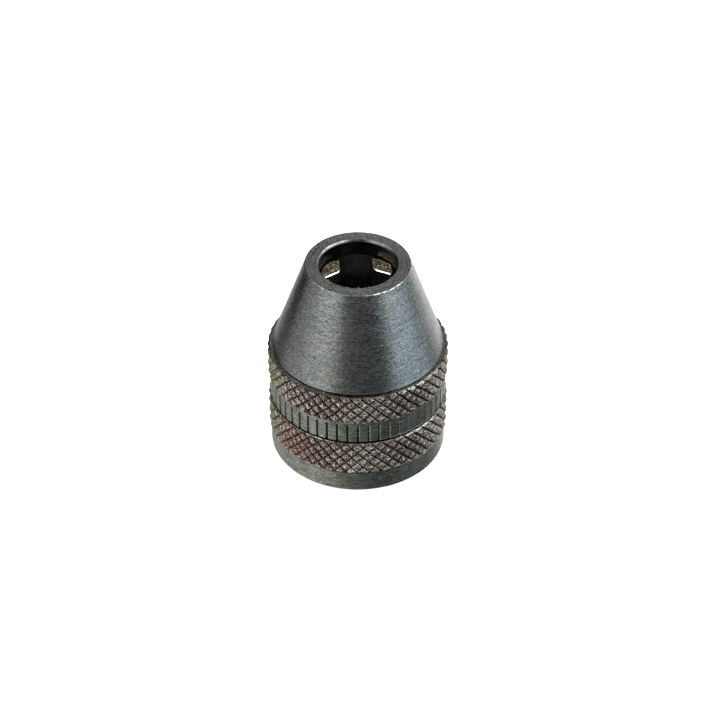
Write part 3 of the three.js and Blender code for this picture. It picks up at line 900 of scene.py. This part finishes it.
def knurled(name, low, high, rims, painted_lines, rust=None, scratch_glint=None):
    """Knurled steel between two heights, and the turned band beside it. rims are (place, reach,
    depth below the top) for painted highlights on the upper rim, painted lines are lines of painted
    shade and painted highlight round the ring as (bottom, top, place, reach, color), and the rust
    and the painted scratch glint are (place, reach)."""
    s = Shading(name)
    streaks = s.turning(0.14, 0.9)
    blotches = s.noise(s.position, 0.5, 5)
    grain = s.noise(s.position, 7.5, 3, 0.7)
    fine = s.noise(s.position, 8.0, 2, 0.6)

    tone = s.math("ADD", s.math("MULTIPLY", streaks, 0.8), s.math("MULTIPLY", fine, 0.9))
    band = s.mix(s.ramp(tone, 0.68, 1.06), (0.06, 0.07, 0.06, 1), (0.31, 0.32, 0.288, 1))
    band = s.mix(s.ramp(blotches, 0.55, 0.7, 0, 0.5), band, (0.13, 0.18, 0.14, 1))
    band = s.mix(s.specks(1.15, 0.1), band, (0.85, 0.85, 0.82, 1))

    diamonds = knurl_diamonds(s, low, high, grain, blotches)
    if scratch_glint:
        # A scratch painted near white as a bright glint.
        scratch_glint_mask = s.both(s.near(*scratch_glint), s.ramp(grain, 0.46, 0.52))
        diamonds = s.mix(scratch_glint_mask, diamonds, (1, 1, 0.98, 1))
    if rust:
        patch = s.both(s.near(*rust, 0.8), s.ramp(grain, 0.6, 0.5, 0.35, 0.92))
        rusty = s.mix(s.ramp(grain, 0.44, 0.53), (0.045, 0.016, 0.014, 1), (0.34, 0.13, 0.11, 1))
        diamonds = s.mix(patch, diamonds, rusty)
    diamonds = rim_shade_and_highlight(s, high, rims, grain, diamonds)
    # Painted shade: where the surface lies well below the crests, in the grooves, it is darkened to near
    # black.
    surface = s.ramp(s.z, high - KNURL_CHAMFER, high, CREST, KNURL_RIM_RADIUS)
    in_groove = s.ramp(s.math("SUBTRACT", surface, s.radius), 0.14, 0.22)
    diamonds = s.mix(in_groove, diamonds, PAINTED_SHADE_BLACK)

    flat_top = s.both(s.ramp(s.z, high - 0.03, high - 0.01),
                      s.ramp(s.radius, KNURL_RIM_RADIUS - 0.02, KNURL_RIM_RADIUS - 0.06))
    on_knurl = s.math("SUBTRACT", s.ramp(s.z, low - 0.03, low + 0.05), flat_top)
    color = s.mix(on_knurl, band, diamonds)
    outside = s.ramp(s.radius, BAND_RADIUS - 0.26, BAND_RADIUS - 0.21)
    # Painted lines round the ring: painted shade under the lower knurl's step at the front, and painted
    # highlights along edges on the right.
    for bottom, top, place, reach, tint in painted_lines:
        line = s.both(s.ramp(s.z, bottom - 0.02, bottom), s.ramp(s.z, top, top + 0.02, 1, 0))
        line = s.both(line, s.near((*place, top), reach))
        color = s.mix(s.both(line, outside), color, tint)

    rises = s.math("MULTIPLY", grain, s.ramp(on_knurl, 0, 1, 0.25, 1.2))
    s.bump(s.math("ADD", rises, s.math("MULTIPLY", streaks, 0.5)), 1.0, 0.06)
    polish = s.ramp(s.math("ADD", grain, blotches), 0.75, 1.2, 0.32, 0.13)
    return s.finish(color, s.math("ADD", polish, s.math("MULTIPLY", s.both(in_groove, on_knurl), 0.3)))


def plain_steel():
    """Bright turned steel for the pieces inside."""
    s = Shading("turned_steel", anisotropic=0.4)
    s.round_tangent()
    lines = s.turning(0.14, 4.0)
    blotches = s.noise(s.position, 0.6, 5)
    tone = s.ramp(s.math("ADD", lines, blotches), 0.7, 1.3)
    color = s.mix(tone, (0.30, 0.30, 0.29, 1), (0.46, 0.46, 0.44, 1))
    s.bump(lines, 0.25, 0.02)
    return s.finish(color, s.ramp(blotches, 0.3, 0.7, 0.26, 0.42))


def jaw_steel():
    """Hardened jaw steel: a rough straw-brown top with dark pits, and sides darkened below the top as painted
    shade.
    """
    s = Shading("jaw_straw_temper", metallic=0.85)
    grain = s.noise(s.position, 3.6, 5, 0.7)
    blotches = s.noise(s.position, 1.2, 4)
    color = s.mix(s.ramp(blotches, 0.38, 0.62), (0.06, 0.042, 0.03, 1), (0.125, 0.108, 0.066, 1))
    color = s.mix(s.ramp(grain, 0.54, 0.62), color, (0.46, 0.41, 0.30, 1))
    color = s.mix(s.ramp(grain, 0.44, 0.51, 1, 0), color, (0.012, 0.01, 0.008, 1))
    # Painted shade: the sides below the top are darkened to near black.
    low = s.ramp(s.z, JAW_TOP - 0.3, JAW_TOP - 0.12, 0.92, 0)
    color = s.mix(low, color, (0.018, 0.014, 0.013, 1))
    s.bump(grain, 0.6, 0.06)
    return s.finish(color, s.ramp(grain, 0.3, 0.7, 0.42, 0.62))


def ground_edge():
    """The jaws' freshly ground top edges, darkened further down as painted shade."""
    s = Shading("jaw_ground_edge")
    grain = s.noise(s.position, 8.0, 4, 0.6)
    color = s.mix(s.ramp(grain, 0.35, 0.65), (0.85, 0.84, 0.81, 1), (0.97, 0.96, 0.94, 1))
    # Painted shade below the top.
    color = s.mix(s.ramp(s.z, JAW_TOP - 0.4, JAW_TOP - 0.2, 0.95, 0), color, (0.03, 0.026, 0.024, 1))
    s.bump(grain, 0.15, 0.02)
    return s.finish(color, s.ramp(grain, 0.3, 0.7, 0.18, 0.30))


def spring_steel():
    """Drawn spring wire."""
    s = Shading("spring_wire")
    grain = s.noise(s.position, 6.0, 4)
    color = s.mix(s.ramp(grain, 0.35, 0.65), (0.34, 0.34, 0.35, 1), (0.52, 0.52, 0.53, 1))
    s.bump(grain, 0.2, 0.02)
    return s.finish(color, s.ramp(grain, 0.3, 0.7, 0.2, 0.34))


# Studio

RAMP_FULL = 6.0
PLAIN, COOL, WARM = (1, 1, 1), (0.86, 0.98, 1.08), (1.02, 1.0, 0.96)
# Brightness by azimuth: 0 is behind the camera, -90 the left, 90 the right, 180 behind the object.
TABLE = [
    (-180, 0.45, WARM), (-150, 0.55, WARM), (-120, 0.85, WARM), (-60, 1.25, WARM), (-40, 1.0, WARM),
    (-20, 0.6, WARM), (0, 0.42, PLAIN), (24, 0.28, PLAIN), (50, 0.2, PLAIN), (80, 0.24, PLAIN),
    (104, 0.28, PLAIN), (124, 0.45, PLAIN), (150, 0.75, WARM), (166, 1.1, WARM), (180, 0.6, WARM),
]
HORIZON = [
    (-180, 1.0, PLAIN), (-158, 0.8, PLAIN), (-146, 0.25, PLAIN), (-138, 0.02, PLAIN), (-118, 0.03, PLAIN),
    (-108, 0.42, PLAIN), (-98, 0.62, PLAIN), (-84, 0.62, PLAIN), (-74, 1.0, PLAIN), (-50, 1.2, WARM),
    (-34, 0.95, WARM), (-22, 0.3, WARM), (-8, 0.2, PLAIN), (10, 0.16, PLAIN), (34, 0.16, COOL),
    (44, 0.2, COOL), (53, 1.32, COOL), (86, 1.25, COOL), (106, 0.62, COOL), (122, 0.8, PLAIN),
    (142, 1.45, PLAIN), (180, 1.1, PLAIN),
]
SOFT_BOXES = [
    (-180, 0.4, PLAIN), (-120, 0.4, PLAIN), (-90, 0.7, PLAIN), (-74, 3.6, PLAIN), (-44, 4.5, PLAIN),
    (-28, 0.35, PLAIN), (0, 0.45, PLAIN), (26, 0.35, PLAIN), (46, 4.5, PLAIN), (112, 4.5, PLAIN),
    (132, 0.6, PLAIN), (180, 0.4, PLAIN),
]
CEILING = [
    (-180, 1.5, PLAIN), (-90, 1.1, PLAIN), (0, 0.7, PLAIN), (90, 1.5, PLAIN), (180, 1.5, PLAIN),
]
# Each layer with the elevations between which it takes over from the one before.
ROOM = [(TABLE, -90, -90), (HORIZON, -36, -24), (SOFT_BOXES, 12, 28), (CEILING, 54, 66)]


def make_world():
    """A white studio seen by the camera. In reflections it has soft boxes at both sides and above,
    a dark side behind the camera, and a shaded table."""
    world = bpy.data.worlds.new("studio")
    bpy.context.scene.world = world
    world.use_nodes = True
    tree = world.node_tree
    tree.nodes.clear()

    def node(kind, **settings):
        made = tree.nodes.new(kind)
        for key, value in settings.items():
            setattr(made, key, value)
        return made

    def math_node(operation, a, b):
        made = node("ShaderNodeMath", operation=operation)
        for socket, value in zip(made.inputs, (a, b)):
            if isinstance(value, (int, float)):
                socket.default_value = value
            else:
                tree.links.new(value, socket)
        return made.outputs[0]

    direction = node("ShaderNodeSeparateXYZ")
    tree.links.new(node("ShaderNodeTexCoord").outputs["Generated"], direction.inputs[0])
    # 0 behind the object going left, 0.5 behind the camera, 1 behind the object going right
    towards_camera = math_node("MULTIPLY", direction.outputs[1], -1.0)
    azimuth = math_node("ARCTAN2", direction.outputs[0], towards_camera)
    share = math_node("ADD", math_node("DIVIDE", azimuth, TAU), 0.5)

    def round_the_room(stops):
        ramp = node("ShaderNodeValToRGB")
        ramp.color_ramp.interpolation = "EASE"
        elements = ramp.color_ramp.elements
        while len(elements) > 1:
            elements.remove(elements[-1])
        for index, (degrees, level, tint) in enumerate(stops):
            place = (degrees + 180) / 360
            element = elements[0] if index == 0 else elements.new(place)
            element.position = place
            element.color = (*(level * part / RAMP_FULL for part in tint), 1)
        tree.links.new(share, ramp.inputs[0])
        return ramp.outputs[0]

    layers = [(round_the_room(stops), low, high) for stops, low, high in ROOM]

    def blend(a, b, low, high):
        step = node("ShaderNodeMapRange", interpolation_type="SMOOTHSTEP")
        tree.links.new(direction.outputs[2], step.inputs[0])
        step.inputs[1].default_value = math.sin(math.radians(low))
        step.inputs[2].default_value = math.sin(math.radians(high))
        made = node("ShaderNodeMix", data_type="RGBA")
        tree.links.new(step.outputs[0], made.inputs[0])
        tree.links.new(a, made.inputs[6])
        tree.links.new(b, made.inputs[7])
        return made.outputs[2]

    colors = layers[0][0]
    for layer, low, high in layers[1:]:
        colors = blend(colors, layer, low, high)
    room = node("ShaderNodeBackground")
    tree.links.new(colors, room.inputs[0])
    room.inputs[1].default_value = RAMP_FULL
    white = node("ShaderNodeBackground")
    white.inputs[0].default_value = (1, 1, 1, 1)
    seen = node("ShaderNodeLightPath")
    mixed = node("ShaderNodeMixShader")
    tree.links.new(seen.outputs["Is Camera Ray"], mixed.inputs[0])
    tree.links.new(room.outputs[0], mixed.inputs[1])
    tree.links.new(white.outputs[0], mixed.inputs[2])
    output = node("ShaderNodeOutputWorld")
    tree.links.new(mixed.outputs[0], output.inputs[0])


def make_lights():
    """One wide lamp above the floor, and a smaller key from the upper left that glints on the knurl."""
    aim = Vector((0, 0, 0.01))

    def area(name, place, size, power):
        data = bpy.data.lights.new(name, "AREA")
        data.size = size
        data.energy = power
        lamp = bpy.data.objects.new(name, data)
        lamp.location = place
        lamp.rotation_euler = (aim - Vector(place)).to_track_quat("-Z", "Y").to_euler()
        bpy.context.scene.collection.objects.link(lamp)
        return lamp

    overhead = area("overhead", (0, 0.1, 0.9), 1.1, 14)
    overhead.visible_glossy = False
    area("key", (-0.25, 0.1, 0.35), 0.10, 0.5)


FLOOR_HALF = 0.75
FLOOR_STEP = 0.05
FLOOR_CELLS = int(2 * FLOOR_HALF / FLOOR_STEP)
FLOOR_Z = -0.02


def make_floor():
    """A plain pale floor just under the chuck, in a grid of square faces."""
    ticks = [(-FLOOR_HALF + FLOOR_STEP * k) / MM for k in range(FLOOR_CELLS + 1)]
    vertices = [(x, y, FLOOR_Z) for y in ticks for x in ticks]
    faces = []
    for row in range(FLOOR_CELLS):
        for column in range(FLOOR_CELLS):
            a = row * (FLOOR_CELLS + 1) + column
            b = a + FLOOR_CELLS + 1
            faces.append((a, a + 1, b + 1, b))
    floor = new_object("studio_floor", vertices, faces)
    s = Shading("studio_floor_white", metallic=0.0)
    s.shader.inputs["Specular IOR Level"].default_value = 0.1
    tone = s.mix(s.noise(s.position, 0.05, 2), (0.93, 0.93, 0.93, 1), (0.95, 0.95, 0.95, 1))
    floor.data.materials.append(s.finish(tone, 0.8))
    floor.visible_glossy = False


CAMERA_ELEVATION = math.radians(39.45)
CAMERA_DISTANCE = 0.2396
CAMERA_TARGET = Vector((0.00023, 0, 0.01053))
CAMERA_LENS = 108.3


def make_camera():
    """The photograph's viewpoint: in front of the chuck and about 39 degrees above it."""
    data = bpy.data.cameras.new("camera")
    data.sensor_width = 36
    data.lens = CAMERA_LENS
    data.clip_start = 0.01
    camera = bpy.data.objects.new("camera", data)
    back = Vector((0, -math.cos(CAMERA_ELEVATION), math.sin(CAMERA_ELEVATION)))
    camera.location = CAMERA_TARGET + back * CAMERA_DISTANCE
    camera.rotation_euler = (-back).to_track_quat("-Z", "Y").to_euler()
    bpy.context.scene.collection.objects.link(camera)
    bpy.context.scene.camera = camera


# Assembly

def dress(piece, body, node, slot, *materials):
    """Gives a piece its materials, hangs it on the body it rides on, and hides the CAD node it stands for."""
    for index, material in enumerate(materials):
        if index < len(piece.data.materials):
            piece.data.materials[index] = material
        else:
            piece.data.materials.append(material)
    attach(piece, body)
    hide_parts(node)


make_camera()
make_world()
make_lights()
make_floor()

oxide = black_oxide()
steel = plain_steel()
wire = spring_steel()
jaw_skin, jaw_edge = jaw_steel(), ground_edge()

# Rust, painted glint, painted highlight and painted line places on the knurls: a place and its reach in
# millimetres, and for a rim its depth
rust = ((-7.0, -7.0, 4.4), 5.4)
# Where a scratch is painted as a bright glint.
scratch_glint = ((-0.5, -10.0, 3.1), 0.8)
left_rim = ((-4.8, -8.4), 2.8, 0.1)
right_rim = ((6.9, -6.9), 4.8, KNURL_CHAMFER)
# A painted shade line under the base knurl's step at the front, and a painted highlight line on the right.
base_painted_lines = [
    (BASE_KNURL_BOTTOM - 0.13, BASE_KNURL_BOTTOM + 0.01, (0, -9.8), 8.5, PAINTED_SHADE_DARK),
    (BASE_KNURL_BOTTOM - 0.02, BASE_KNURL_BOTTOM + 0.06, (7.4, -6.4), 6.5, PAINTED_HIGHLIGHT_PALE),
]
# A painted highlight line near the grip ring's lower edge on the right.
grip_painted_lines = [(GRIP_BOTTOM + 0.16, GRIP_BOTTOM + 0.24, (5.8, -7.8), 4.6, PAINTED_HIGHLIGHT_PALE)]
base_knurl = knurled("base_knurl", BASE_KNURL_BOTTOM, BASE_TOP, [left_rim, right_rim], base_painted_lines,
                     rust, scratch_glint)
grip_knurl = knurled("grip_knurl", GRIP_KNURL_BOTTOM, GRIP_TOP, [right_rim], grip_painted_lines)

dress(make_spindle_core(), "base", "spindle_core", "plain_steel", steel)
dress(make_base_ring(), "base", "base_ring", "knurled_steel", base_knurl)
dress(make_snap_ring(), "base", "snap_ring", "spring_steel", wire)
dress(make_thrust_washer(), "base", "thrust_washer", "plain_steel", steel)
dress(make_nose_sleeve(), "sleeve", "nose_sleeve", "black_oxide", oxide)
dress(make_grip_ring(), "sleeve", "grip_ring", "knurled_steel", grip_knurl)
dress(make_thrust_nut(), "nut", "thrust_nut", "plain_steel", steel)
for number in range(1, JAW_COUNT + 1):
    dress(make_jaw(number - 1), f"jaw_{number}", f"jaw_{number}", "jaw_steel", jaw_skin, jaw_edge)
    spring, centre, along = make_spring(number - 1)
    dress(spring, f"spring_{number}", f"jaw_spring_{number}", "spring_steel", wire)
    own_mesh(spring)
    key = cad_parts[f"drive_key_{number}"]
    bevel(key, KEY_BEVEL, 2)
    key.data.materials.clear()
    key.data.materials.append(steel)

bpy.context.scene.view_settings.view_transform = "Standard"
